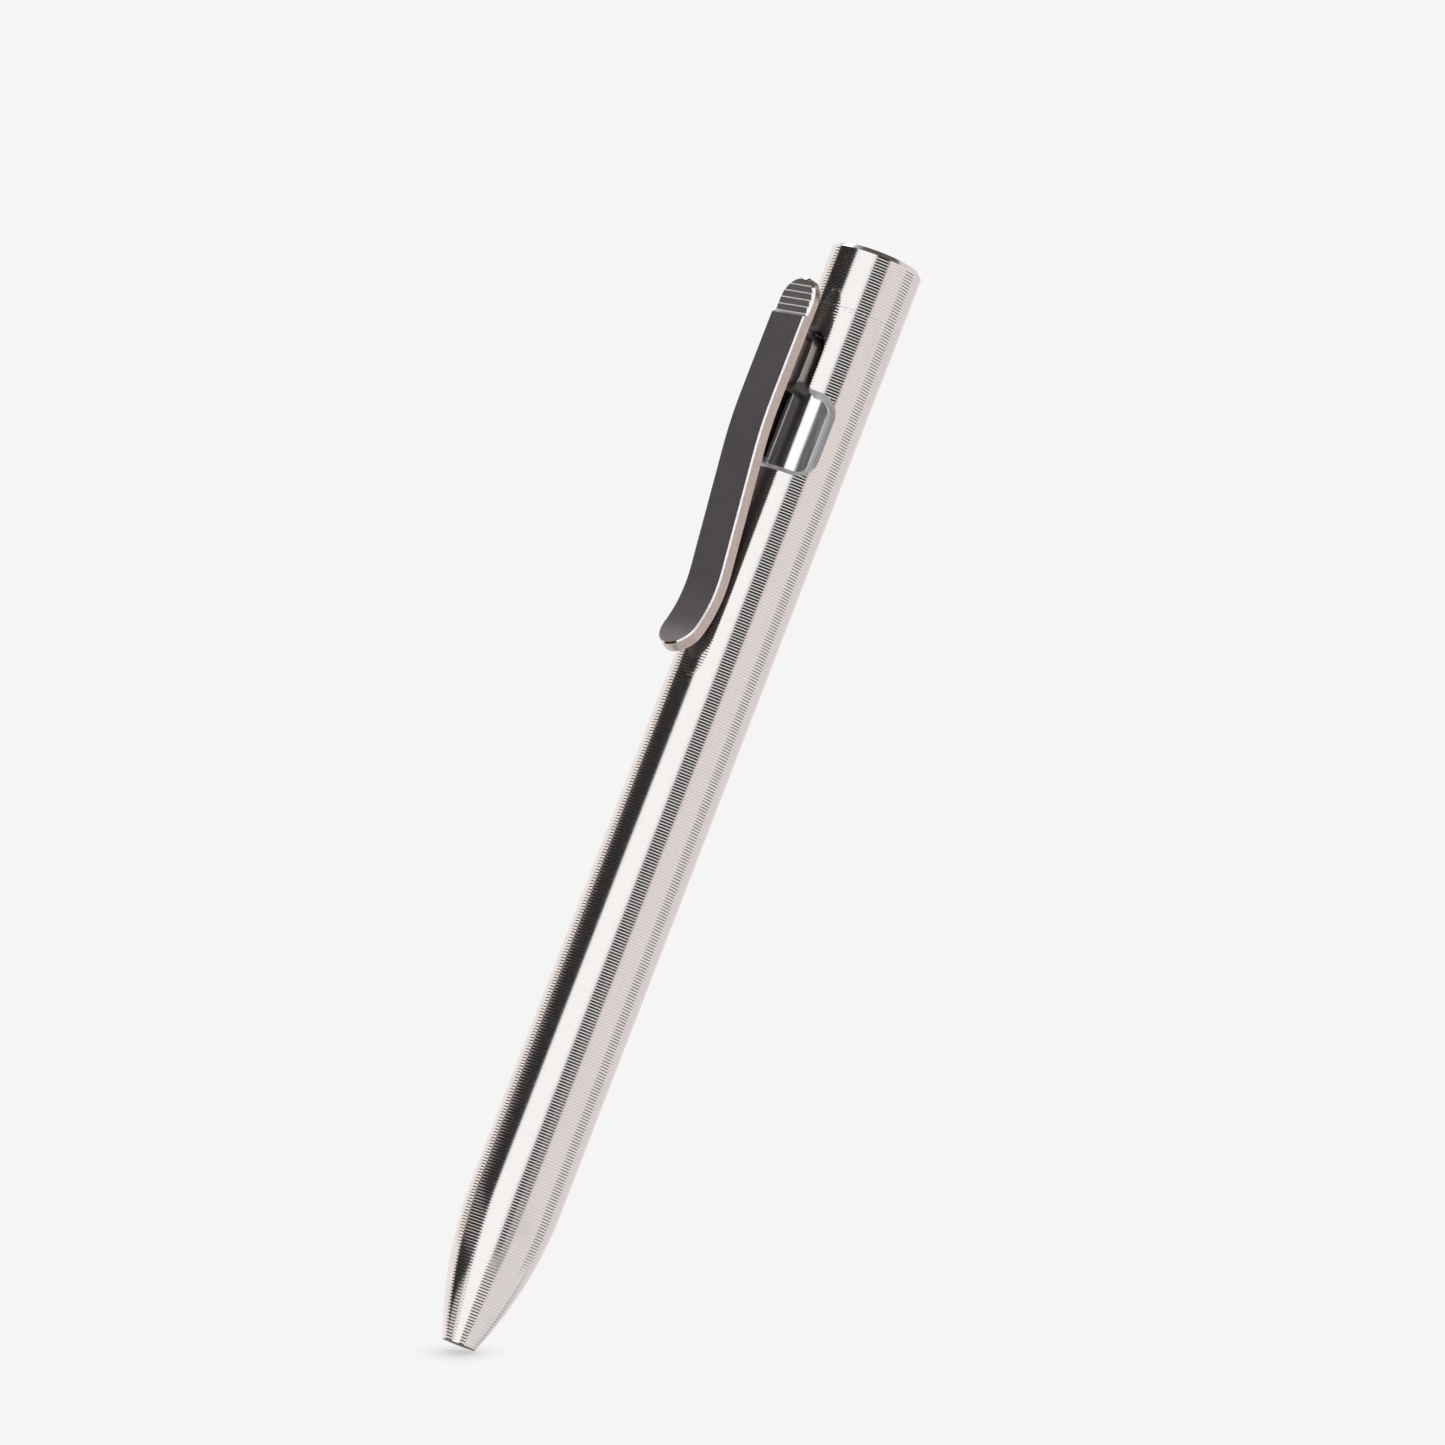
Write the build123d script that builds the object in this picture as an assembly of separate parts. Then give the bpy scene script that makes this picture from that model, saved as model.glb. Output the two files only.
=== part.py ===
from build123d import *
import math
import os

# A slim turned metal pen whose pocket clip is also its push button. Heights are millimetres up
# the pen's axis from the flat end of the nose, and the clip lies on the -Y side. The pen is built
# round its refill: the lengths and walls below add up to 140 mm by 11.5 mm.

# The ball refill, a plain metal cartridge of the common large size.
refill_length = 98.1
refill_radius = 2.95
refill_play = 0.15
tip_recess = 4.6
point_radius = 1.15
point_length = 7.0
point_cone = 2.6
point_lip = 0.06
point_play = 0.1
point_spigot_radius = 0.75
point_spigot_length = 2.5
point_channel = 0.25
ball_radius = 0.4
ball_show = 0.2
ball_play = 0.02
ferrule_radius = 1.6
ferrule_length = 9.2
ferrule_flange = 1.0
ferrule_spigot = 2.8
ferrule_nipple = 3.0
ferrule_channel = 0.6
casing_wall = 0.25
end_plug_flange = 2.1
end_plug_spigot = 3.0
end_plug_notch = 0.8
end_plug_notches = 4
fit_play = 0.02
reservoir_wall = 0.4
reservoir_end_room = 1.0
ink_share = 0.8
follower_length = 3.0

# The return spring round the refill's thin front, and its pocket in the barrel.
wire_radius = 0.225
spring_radius = 2.15
spring_turns = 12
spring_seat = 0.05
spring_length = 15.5
spring_pocket_play = 0.17
throat_play = 0.35

# The spacer on the refill, and the lock screw that presses on it through the post's eye.
spacer_length = 18.3
spacer_play = 0.1
spacer_gap_to_eye = 2.1
lock_head_step = 0.2
lock_head_length = 3.4
lock_head_play = 0.03
lock_stem_radius = 1.0
lock_slot_width = 0.8
lock_slot_depth = 0.9
lock_drop_from_post = 1.3

# The post between slider and clip: a key that fills the slot, with a foot, an eye and a flat top.
post_width = 4.0
post_length = 7.6
post_floor = 0.55
post_play = 0.03
post_stand = 0.6
post_edge_break = 0.12
eye_radius = 1.8
eye_length = 2.2
eye_play = 0.05

# The polished slider that runs in the barrel behind the slot.
slider_wall = 1.25
slider_play = 0.05
slider_length = 40.3
slider_edge_break = 0.3
slider_stop_gap = 0.05
slider_end_room = 0.4
ring_depth = 0.6
ring_width = 1.4
ring_play = 0.02
front_ring_from_end = 2.0
rear_ring_from_end = 2.4

# The J-shaped slot: one end mill cuts the long leg and then the side window.
slot_width = 4.2
slot_top_from_end = 11.7
post_top_gap = 0.3
post_bottom_gap = 0.2
slide_travel = 8.8
window_height = 9.4
lock_angle = 44.0
slot_chamfer = 0.72
knee_radius = 1.0

# The barrel. Its nose is one arc, tangent to the body, that ends in a small flat round the mouth.
barrel_wall = 1.4
nose_length = 19.0
nose_end_radius = 2.1
nose_edge_break = 0.15
mouth_length = 1.5
mouth_cone = 0.9

# The tail end: the barrel is reduced to a stub, and the cup-shaped cap closes over it.
cap_length = 7.9
cap_crown = 1.4
cap_edge_chamfer = 0.6
stub_step = 0.8
stub_length = 4.9
stub_play = 0.03
seal_wall = 0.5
bumper_thickness = 1.2

# The clip: a flat bar, straight above the knee, then leaning in, then curling out at its lip.
clip_width = 6.15
clip_thickness = 1.5
clip_top_from_end = 6.25
clip_stand = 4.35
clip_near_from_end = 45.6
clip_near_gap = 0.15
clip_lean = 8.0
clip_knee_bend = 50.0
lip_bend = 16.0
lip_angle = 24.0
lip_tail = 1.6
clip_chamfer = 0.28
clip_boss_width = 2.2
clip_boss_length = 6.4
facing_limit = 50.0

# The thumb pad: a shallow step with saw teeth whose steep sides face the tail end.
pad_length = 5.0
pad_step = 0.3
tooth_depth = 0.22
tooth_pitch = 0.87
tooth_count = 5

# Two small socket screws hold the clip on the post from inside.
screw_head_radius = 1.0
screw_head_height = 1.0
screw_radius = 0.6
screw_bite = 1.0
screw_play = 0.04
screw_sink = 0.1
screw_spread = 4.2
socket_across = 0.8
socket_depth = 0.5

# Radii that the pieces share, from the refill outwards.
cut_overrun = 1.0
refill_bore = refill_radius + refill_play
casing_bore = refill_radius - casing_wall
throat_radius = ferrule_radius + throat_play
pocket_radius = spring_radius + wire_radius + spring_pocket_play
slider_inner = refill_radius + spacer_play
slider_radius = slider_inner + slider_wall
slider_bore = slider_radius + slider_play
barrel_radius = slider_bore + barrel_wall
stub_radius = barrel_radius - stub_step
post_foot = slider_inner + post_floor
post_ledge = barrel_radius + post_stand
clip_outer = barrel_radius + clip_stand
clip_inner = clip_outer - clip_thickness
lock_head_radius = slider_inner + lock_head_step

# Heights that the pieces share, from the refill's ball upwards.
flange_bottom = tip_recess + point_length + ferrule_length
casing_bottom = flange_bottom + ferrule_flange
spring_floor = flange_bottom - spring_length
refill_top = tip_recess + refill_length
casing_top = refill_top - end_plug_flange
spacer_top = refill_top + spacer_length
post_middle = spacer_top + spacer_gap_to_eye + eye_length / 2
post_top = post_middle + post_length / 2
post_bottom = post_middle - post_length / 2
lock_bottom = post_top + lock_drop_from_post
slot_top = post_top + post_top_gap
slot_bottom = post_bottom - post_bottom_gap - slide_travel
window_top = slot_bottom + window_height
pen_length = slot_top + slot_top_from_end
seam_height = pen_length - cap_length
cap_inner_top = pen_length - cap_crown
stub_top = seam_height + stub_length
bumper_bottom = cap_inner_top - bumper_thickness
slider_top = bumper_bottom - slider_stop_gap
slider_bottom = slider_top - slider_length
slider_bore_floor = slider_bottom - slide_travel - slider_end_room
clip_top = pen_length - clip_top_from_end


def turned(outline):
    """Solid of revolution about the pen's axis, from (radius, height) points."""
    return revolve(Plane.YZ * make_face(Polyline(*outline, close=True)), Axis.Z)


def tube(inner, outer, low, high):
    """Plain tube about the pen's axis."""
    return turned([(inner, low), (outer, low), (outer, high), (inner, high)])


def rod(radius, low, high):
    """Plain cylinder about the pen's axis."""
    return Pos(0, 0, low) * extrude(Circle(radius), high - low)


side_plane = Plane(origin=(0, 0, 0), x_dir=(0, -1, 0), z_dir=(-1, 0, 0))


def out_plane(distance, height):
    """Plane square to the clip's side, facing out, its own y pointing up the pen."""
    return Plane(origin=(0, -distance, height), x_dir=(1, 0, 0), z_dir=(0, -1, 0))


def out_bar(width, low, high, near, far):
    """Round-ended bar that points out on the clip's side, from one distance to another."""
    profile = SlotOverall(high - low, width, rotation=90)
    return extrude(out_plane(near, (low + high) / 2) * profile, far - near)


def out_rod(radius, height, near, far):
    """Round rod that points out on the clip's side."""
    return extrude(out_plane(near, height) * Circle(radius), far - near)


def slot_cutter():
    """Path of the end mill: the long leg, the turn to the right and the window's far end."""
    near = slider_inner
    far = barrel_radius + cut_overrun
    leg = out_bar(slot_width, slot_bottom, slot_top, near, far)
    corners = [(near, slot_bottom), (far, slot_bottom), (far, window_top), (near, window_top)]
    turn = revolve(side_plane * make_face(Polyline(*corners, close=True)), Axis.Z, lock_angle)
    end = Rot(0, 0, lock_angle) * out_bar(slot_width, slot_bottom, window_top, near, far)
    return leg + turn + end


def nose_and_body():
    """Turned and bored blank: the bore steps up from the mouth to the slider's bore."""
    mouth = point_radius + point_play
    bore_start = flange_bottom - slide_travel - spring_seat
    inside = [
        (mouth, 0),
        (mouth, mouth_length),
        (throat_radius, mouth_length + mouth_cone),
        (throat_radius, spring_floor),
        (pocket_radius, spring_floor),
        (pocket_radius, bore_start - refill_bore + pocket_radius),
        (refill_bore, bore_start),
        (refill_bore, slider_bore_floor),
        (slider_bore, slider_bore_floor),
        (slider_bore, stub_top),
    ]
    outside = [
        (stub_radius, stub_top),
        (stub_radius, seam_height),
        (barrel_radius, seam_height),
        (barrel_radius, nose_length),
    ]
    straight = Polyline(*inside, *outside)
    ogive = TangentArc(outside[-1], (nose_end_radius, nose_edge_break), tangent=(0, -1))
    end = Polyline(ogive @ 1, (nose_end_radius - nose_edge_break, 0), inside[0])
    return revolve(Plane.YZ * make_face(straight + ogive + end), Axis.Z)


def barrel():
    """Nose and body in one piece, bored from the tail, with the bevelled J-shaped slot."""
    body = nose_and_body() - slot_cutter()
    knee_place = (slot_width / 2, -barrel_radius, window_top)
    knee = body.edges().filter_by(Axis.Y).sort_by_distance(knee_place)[0]
    body = fillet(knee, knee_radius)
    skin = body.faces().filter_by(GeomType.CYLINDER).sort_by(SortBy.RADIUS)
    holed = [face for face in skin if face.inner_wires()][-1]
    return chamfer(holed.inner_wires()[0].edges(), slot_chamfer)


def tail_cap():
    """Cup that closes the tail: its skirt covers the stub and its crown is flat."""
    skirt = stub_radius + stub_play
    return turned(
        [
            (0, cap_inner_top),
            (skirt, cap_inner_top),
            (skirt, seam_height),
            (barrel_radius, seam_height),
            (barrel_radius, pen_length - cap_edge_chamfer),
            (barrel_radius - cap_edge_chamfer, pen_length),
            (0, pen_length),
        ]
    )


def tail_cap_seal():
    """Soft ring squeezed between the stub's end and the cap, so the cap can't work loose."""
    return tube(stub_radius - seal_wall, stub_radius, stub_top, cap_inner_top)


def tail_bumper():
    """Soft pad in the cap's crown that the slider comes back against."""
    return rod(slider_radius, bumper_bottom, cap_inner_top)


def slider_ring(low):
    """Slippery guide ring in a groove of the slider."""
    inner = slider_radius - ring_depth + ring_play
    return tube(inner, slider_bore - ring_play, low, low + ring_width)


def front_ring_low():
    """Lower edge of the front guide ring."""
    return slider_bottom + front_ring_from_end


def rear_ring_low():
    """Lower edge of the rear guide ring."""
    return slider_top - rear_ring_from_end - ring_width


def slider():
    """Polished sleeve, bored for the refill, wider for the lock screw, pocketed for the post."""
    thread = lock_head_radius + lock_head_play
    floor = lock_bottom - lock_head_play
    body = turned(
        [
            (slider_inner, slider_bottom),
            (slider_radius - slider_edge_break, slider_bottom),
            (slider_radius, slider_bottom + slider_edge_break),
            (slider_radius, slider_top - slider_edge_break),
            (slider_radius - slider_edge_break, slider_top),
            (thread, slider_top),
            (thread, floor),
            (slider_inner, floor),
        ]
    )
    for low in (front_ring_low(), rear_ring_low()):
        body -= tube(
            slider_radius - ring_depth,
            slider_radius + cut_overrun,
            low - ring_play,
            low + ring_width + ring_play,
        )
    body -= out_bar(
        post_width + post_play * 2,
        post_bottom - post_play,
        post_top + post_play,
        post_foot,
        slider_radius + cut_overrun,
    )
    return body - post_eye(post_play)


def screw_heights():
    """Heights of the two clip screws."""
    return [post_middle - screw_spread / 2, post_middle + screw_spread / 2]


def post_eye(play):
    """Flat tongue from the post's foot to the slider's axis, or with some play the hole for it."""
    across = (eye_radius + play) * 2
    high = eye_length + play * 2
    tongue = Box(across, post_foot + play, high, align=(Align.CENTER, Align.MAX, Align.CENTER))
    return Pos(0, 0, post_middle) * tongue


def clip_post():
    """Round-ended key that fills the slot, with an eye that reaches the slider's axis."""
    body = out_bar(post_width, post_bottom, post_top, post_foot, post_ledge)
    rim = body.faces().sort_by(Axis.Y)[0].edges()
    body = chamfer(rim, post_edge_break)
    eye_low = post_middle - eye_length / 2
    body += post_eye(0) + rod(eye_radius, eye_low, eye_low + eye_length)
    body -= rod(lock_stem_radius + eye_play, eye_low - cut_overrun, eye_low + eye_length + cut_overrun)
    seat = post_foot + screw_sink + screw_head_height
    for height in screw_heights():
        body -= out_rod(screw_head_radius + screw_play, height, post_foot - cut_overrun, seat)
        body -= out_rod(screw_radius + screw_play, height, seat, post_ledge)
    return body


def clip_screws():
    """The two socket screws, heads towards the slider."""
    low = post_foot + screw_sink
    seat = low + screw_head_height
    hexagon = RegularPolygon(socket_across, 6, major_radius=False)
    screws = []
    for height in screw_heights():
        screw = out_rod(screw_head_radius, height, low, seat)
        screw += out_rod(screw_radius, height, seat, clip_inner + screw_bite)
        screw -= extrude(out_plane(low, height) * hexagon, socket_depth)
        screws.append(screw)
    return Compound(screws)


def clip_points(depth):
    """Corners of the clip's side view at a depth under its outer face, from the tail end down."""
    lean = math.radians(clip_lean)
    lip = math.radians(-lip_angle)
    near = barrel_radius + clip_near_gap + clip_thickness
    near_height = pen_length - clip_near_from_end
    bend = [
        (near + lip_bend * (1 - math.cos(a)), near_height + lip_bend * math.sin(a), a)
        for a in (lean, lip)
    ]
    knee_height = bend[0][1] + (clip_outer - bend[0][0]) / math.tan(lean)
    reach = clip_knee_bend * math.tan(lean / 2)
    tail = (bend[1][0] - lip_tail * math.sin(lip), bend[1][1] - lip_tail * math.cos(lip), lip)
    corners = [
        (clip_outer, clip_top, 0),
        (clip_outer, knee_height + reach, 0),
        (clip_outer - reach * math.sin(lean), knee_height - reach * math.cos(lean), lean),
        *bend,
        tail,
    ]
    return [(x - depth * math.cos(a), y + depth * math.sin(a), a) for x, y, a in corners]


def clip_line(depth):
    """The clip's side view as straight runs and tangent arcs, at a depth under its outer face."""
    corners = [(x, y) for x, y, _ in clip_points(depth)]
    starts = [(-math.sin(a), -math.cos(a)) for _, _, a in clip_points(depth)]
    edges = []
    for place in range(len(corners) - 1):
        first, last = corners[place], corners[place + 1]
        bent = place % 2 == 1
        edges.append(TangentArc(first, last, tangent=starts[place]) if bent else Line(first, last))
    return edges


def clip_blank():
    """The bent bar before its ends are rounded, with the step down to the thumb pad."""
    outer = clip_line(0)
    inner = clip_line(clip_thickness)
    pad_face = clip_outer - pad_step
    pad_end = clip_top - pad_length
    step = [(pad_face, clip_top), (pad_face, pad_end + pad_step), (clip_outer, pad_end)]
    rim = [
        Polyline(inner[0] @ 0, *step, outer[0] @ 1),
        *outer[1:],
        Line(outer[-1] @ 1, inner[-1] @ 1),
        *inner,
    ]
    half = clip_width / 2 + cut_overrun
    return extrude(side_plane * make_face(rim), half, both=True)


def clip_outline():
    """The round-ended outline, once square to the straight part and once square to the lip."""
    far = clip_outer + clip_stand
    x, y, a = clip_points(0)[-1]
    length = clip_top - y + clip_width
    upper = out_bar(clip_width, clip_top - length - clip_width, clip_top, 0, far)
    facing = (0, -math.cos(a), -math.sin(a))
    lip_plane = Plane(origin=(0, -x, y), x_dir=(1, 0, 0), z_dir=facing)
    lower = lip_plane * Pos(0, length / 2) * SlotOverall(length, clip_width, rotation=90)
    return upper & extrude(lower, length, both=True)


def pad_teeth():
    """Saw-tooth notches across the thumb pad, each with its steep side towards the tail end."""
    face = clip_outer - pad_step
    low = clip_top - pad_length + pad_step
    half = clip_width / 2 + cut_overrun
    notches = []
    for count in range(tooth_count):
        start = low + count * tooth_pitch
        notch = [
            (face, start),
            (face - tooth_depth, start + tooth_depth),
            (face, start + tooth_pitch),
            (face + pad_step, start + tooth_pitch),
            (face + pad_step, start),
        ]
        wedge = make_face(Polyline(*notch, close=True))
        notches.append(extrude(side_plane * wedge, half, both=True))
    return notches


def across_clip(edge):
    """True for an edge that runs straight across the clip, where two runs of its face meet."""
    return edge.geom_type == GeomType.LINE and abs((edge % 0.5).X) > abs((edge % 0.5).Z)


def faces_out(face):
    """True for a face of the clip that looks away from the barrel."""
    return -face.normal_at().Y > math.cos(math.radians(facing_limit))


def clip():
    """Flat bar bent to shape, with round ends, a toothed thumb pad and a boss for the post."""
    body = clip_blank() & clip_outline()
    rim = [edge for face in body.faces() if faces_out(face) for edge in face.edges()]
    body = chamfer([edge for edge in rim if not across_clip(edge)], clip_chamfer)
    for notch in pad_teeth():
        body -= notch
    boss_low = post_middle - clip_boss_length / 2
    boss_high = post_middle + clip_boss_length / 2
    body += out_bar(clip_boss_width, boss_low, boss_high, post_ledge, clip_inner)
    for height in screw_heights():
        hole_end = clip_inner + screw_bite + screw_sink
        body -= out_rod(screw_radius + fit_play, height, post_ledge, hole_end)
    return body


def refill_point():
    """Turned tip of the refill, with the ball's socket and the ink channel."""
    low = tip_recess
    lip_radius = ball_radius + point_lip
    top = low + point_length
    body = turned(
        [
            (0, low + ball_show),
            (lip_radius, low + ball_show),
            (point_radius, low + point_cone),
            (point_radius, top),
            (point_spigot_radius, top),
            (point_spigot_radius, top + point_spigot_length),
            (0, top + point_spigot_length),
        ]
    )
    socket = Pos(0, 0, low + ball_radius) * Sphere(ball_radius + ball_play)
    return body - socket - rod(point_channel, low + ball_radius, top + point_spigot_length)


def writing_ball():
    """The ball that rolls in the refill's point."""
    return Pos(0, 0, tip_recess + ball_radius) * Sphere(ball_radius)


def refill_ferrule():
    """Front plug of the refill: thin nose for the spring, flange, and a nipple for the ink tube."""
    low = tip_recess + point_length
    seat = point_spigot_radius + fit_play
    deep = low + point_spigot_length + fit_play
    spigot_top = casing_bottom + ferrule_spigot
    spigot = casing_bore - fit_play
    nipple = spigot - reservoir_wall - fit_play
    top = spigot_top + ferrule_nipple
    return turned(
        [
            (seat, low),
            (ferrule_radius, low),
            (ferrule_radius, flange_bottom),
            (refill_radius, flange_bottom),
            (refill_radius, casing_bottom),
            (spigot, casing_bottom),
            (spigot, spigot_top),
            (nipple, spigot_top),
            (nipple, top),
            (ferrule_channel, top),
            (ferrule_channel, deep),
            (seat, deep),
        ]
    )


def refill_casing():
    """Thin metal tube of the refill."""
    return tube(casing_bore, refill_radius, casing_bottom, casing_top)


def refill_end_plug():
    """Plug in the refill's rear end, notched round its rim as a vent."""
    body = rod(refill_radius, casing_top, refill_top)
    body += rod(casing_bore - fit_play, casing_top - end_plug_spigot, casing_top)
    half_flange = end_plug_flange / 2
    inward = (Align.CENTER, Align.MIN, Align.MAX)
    notch = Box(end_plug_notch, refill_radius, half_flange, align=inward)
    for turn in range(end_plug_notches):
        angle = 360 / end_plug_notches * turn
        body -= Rot(0, 0, angle) * Pos(0, refill_radius - end_plug_notch, refill_top) * notch
    return body


def reservoir_span():
    """Heights of the ink tube's two ends."""
    low = casing_bottom + ferrule_spigot
    return low, casing_top - end_plug_spigot - reservoir_end_room


def reservoir_bore():
    """Inside radius of the ink tube."""
    return casing_bore - fit_play - reservoir_wall


def ink_reservoir():
    """Plastic tube inside the casing that holds the ink."""
    low, high = reservoir_span()
    return tube(reservoir_bore(), casing_bore - fit_play, low, high)


def ink_levels():
    """Heights of the ink's two ends."""
    low, high = reservoir_span()
    floor = low + ferrule_nipple
    return floor, floor + (high - floor) * ink_share


def ink_column():
    """The ink in its tube."""
    return rod(reservoir_bore() - fit_play, *ink_levels())


def ink_follower():
    """Grease plug that follows the ink down."""
    level = ink_levels()[1]
    return rod(reservoir_bore() - fit_play, level, level + follower_length)


def refill_spacer():
    """Plastic rod that passes the lock screw's push on to the refill."""
    return rod(refill_radius, refill_top, spacer_top)


def lock_screw():
    """Headed screw in the slider's tail, its stem through the post's eye."""
    head_top = lock_bottom + lock_head_length
    body = rod(lock_head_radius, lock_bottom, head_top)
    body += rod(lock_stem_radius, spacer_top, lock_bottom)
    across = lock_head_radius * 2 + cut_overrun
    down = (Align.CENTER, Align.CENTER, Align.MAX)
    return body - Pos(0, 0, head_top) * Box(across, lock_slot_width, lock_slot_depth, align=down)


def return_spring():
    """Coil of round wire that lifts the refill and the slider."""
    low = spring_floor + spring_seat + wire_radius
    rise = spring_length - (spring_seat + wire_radius) * 2
    path = Pos(0, 0, low) * Helix(rise / spring_turns, rise, spring_radius)
    section = Plane(path @ 0, z_dir=path % 0) * Circle(wire_radius)
    print("spring gap between turns", round(rise / spring_turns - wire_radius * 2, 3))
    return sweep(section, path, is_frenet=True)


def slider_ring_front():
    """Guide ring near the slider's front end."""
    return slider_ring(front_ring_low())


def slider_ring_rear():
    """Guide ring near the slider's tail end."""
    return slider_ring(rear_ring_low())


pieces = [
    barrel,
    tail_cap,
    tail_cap_seal,
    tail_bumper,
    slider,
    slider_ring_front,
    slider_ring_rear,
    clip,
    clip_post,
    clip_screws,
    lock_screw,
    refill_spacer,
    return_spring,
    refill_casing,
    refill_end_plug,
    refill_ferrule,
    refill_point,
    writing_ball,
    ink_reservoir,
    ink_column,
    ink_follower,
]
os.makedirs("parts", exist_ok=True)
for piece in pieces:
    export_step(piece(), f"parts/{piece.__name__}.step")
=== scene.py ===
import math

import bpy
from mathutils import Matrix, Vector


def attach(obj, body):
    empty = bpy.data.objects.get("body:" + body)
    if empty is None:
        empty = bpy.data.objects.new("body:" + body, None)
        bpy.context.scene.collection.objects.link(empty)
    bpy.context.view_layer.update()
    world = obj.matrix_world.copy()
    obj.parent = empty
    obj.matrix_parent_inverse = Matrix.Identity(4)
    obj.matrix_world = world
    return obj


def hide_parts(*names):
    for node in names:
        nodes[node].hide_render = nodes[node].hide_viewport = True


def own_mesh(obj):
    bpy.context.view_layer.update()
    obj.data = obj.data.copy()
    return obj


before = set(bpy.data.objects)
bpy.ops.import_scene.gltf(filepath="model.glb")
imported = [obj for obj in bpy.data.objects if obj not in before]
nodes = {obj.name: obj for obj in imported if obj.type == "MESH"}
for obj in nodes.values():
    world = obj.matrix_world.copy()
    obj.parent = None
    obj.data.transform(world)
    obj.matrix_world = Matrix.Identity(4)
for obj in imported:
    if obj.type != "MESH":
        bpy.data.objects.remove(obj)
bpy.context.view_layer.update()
mm = 0.001


# Barrel. One steel bar, bored through, with its nose and body turned in one pass, so that fine
# vee grooves run round it from the mouth to the seam. The slot is milled after the turning, and
# its edge is bevelled and blasted. The mouth's faces, the slot's upper bevel and its far wall
# take a dark steel that is painted shade.
groove_pitch = 0.365 * mm
groove_depth = 0.035 * mm
groove_root_share = 0.37
skin_radius = 5.75 * mm
nose_length = 19.0 * mm
nose_end = (2.1 * mm, 0.15 * mm)
seam_height = 132.1 * mm
stub_radius = 4.95 * mm
stub_top = 137.0 * mm
thread_pitch = 0.5 * mm
thread_depth = 0.2 * mm
bored_radius = 4.3 * mm
window_top = 120.8 * mm


def grain_group():
    """Tool marks or blasted grain: noise of a size in mm, drawn out along an axis."""
    group = bpy.data.node_groups.new("metal_grain", "ShaderNodeTree")
    group.interface.new_socket("Size", in_out="INPUT", socket_type="NodeSocketFloat")
    group.interface.new_socket("Stretch", in_out="INPUT", socket_type="NodeSocketVector")
    group.interface.new_socket("Contrast", in_out="INPUT", socket_type="NodeSocketFloat")
    group.interface.new_socket("Amount", in_out="OUTPUT", socket_type="NodeSocketFloat")
    tree, link = group.nodes, group.links.new
    start, end = tree.new("NodeGroupInput"), tree.new("NodeGroupOutput")
    place = tree.new("ShaderNodeTexCoord")
    stretched = tree.new("ShaderNodeVectorMath")
    stretched.operation = "DIVIDE"
    sized = tree.new("ShaderNodeVectorMath")
    sized.operation = "SCALE"
    count = tree.new("ShaderNodeMath")
    count.operation = "DIVIDE"
    count.inputs[0].default_value = 1 / mm
    noise = tree.new("ShaderNodeTexNoise")
    noise.inputs["Scale"].default_value = 1
    noise.inputs["Detail"].default_value = 3
    spread = tree.new("ShaderNodeMapRange")
    low = tree.new("ShaderNodeMath")
    low.operation = "SUBTRACT"
    low.inputs[0].default_value = 0.5
    high = tree.new("ShaderNodeMath")
    high.inputs[0].default_value = 0.5
    link(place.outputs["Object"], stretched.inputs[0])
    link(start.outputs["Stretch"], stretched.inputs[1])
    link(start.outputs["Size"], count.inputs[1])
    link(stretched.outputs["Vector"], sized.inputs[0])
    link(count.outputs["Value"], sized.inputs["Scale"])
    link(sized.outputs["Vector"], noise.inputs["Vector"])
    link(start.outputs["Contrast"], low.inputs[1])
    link(start.outputs["Contrast"], high.inputs[1])
    link(noise.outputs["Fac"], spread.inputs["Value"])
    link(low.outputs["Value"], spread.inputs["From Min"])
    link(high.outputs["Value"], spread.inputs["From Max"])
    link(spread.outputs["Result"], end.inputs["Amount"])
    return group


metal_grain = grain_group()


def finish_of(
    name, dark, light, rough, grain=0.1, stretch=(1, 1, 1), contrast=0.2, bump=0.0, metal=1.0, clear=0.0
):
    """Material of one finish: colour, roughness and relief vary together with the grain."""
    material = bpy.data.materials.new(name)
    material.use_nodes = True
    tree, link = material.node_tree.nodes, material.node_tree.links.new
    shader = tree["Principled BSDF"]
    shader.inputs["Metallic"].default_value = metal
    shader.inputs["Transmission Weight"].default_value = clear
    marks = tree.new("ShaderNodeGroup")
    marks.node_tree = metal_grain
    marks.inputs["Size"].default_value = grain
    marks.inputs["Stretch"].default_value = stretch
    marks.inputs["Contrast"].default_value = contrast
    colour = tree.new("ShaderNodeMix")
    colour.data_type = "RGBA"
    colour.inputs[6].default_value = (*dark, 1)
    colour.inputs[7].default_value = (*light, 1)
    gloss = tree.new("ShaderNodeMapRange")
    gloss.inputs["To Min"].default_value = rough[0]
    gloss.inputs["To Max"].default_value = rough[1]
    link(marks.outputs["Amount"], colour.inputs["Factor"])
    link(marks.outputs["Amount"], gloss.inputs["Value"])
    link(colour.outputs[2], shader.inputs["Base Color"])
    link(gloss.outputs["Result"], shader.inputs["Roughness"])
    if bump:
        relief = tree.new("ShaderNodeBump")
        relief.inputs["Distance"].default_value = bump * mm
        link(marks.outputs["Amount"], relief.inputs["Height"])
        link(relief.outputs["Normal"], shader.inputs["Normal"])
    return material


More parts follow.
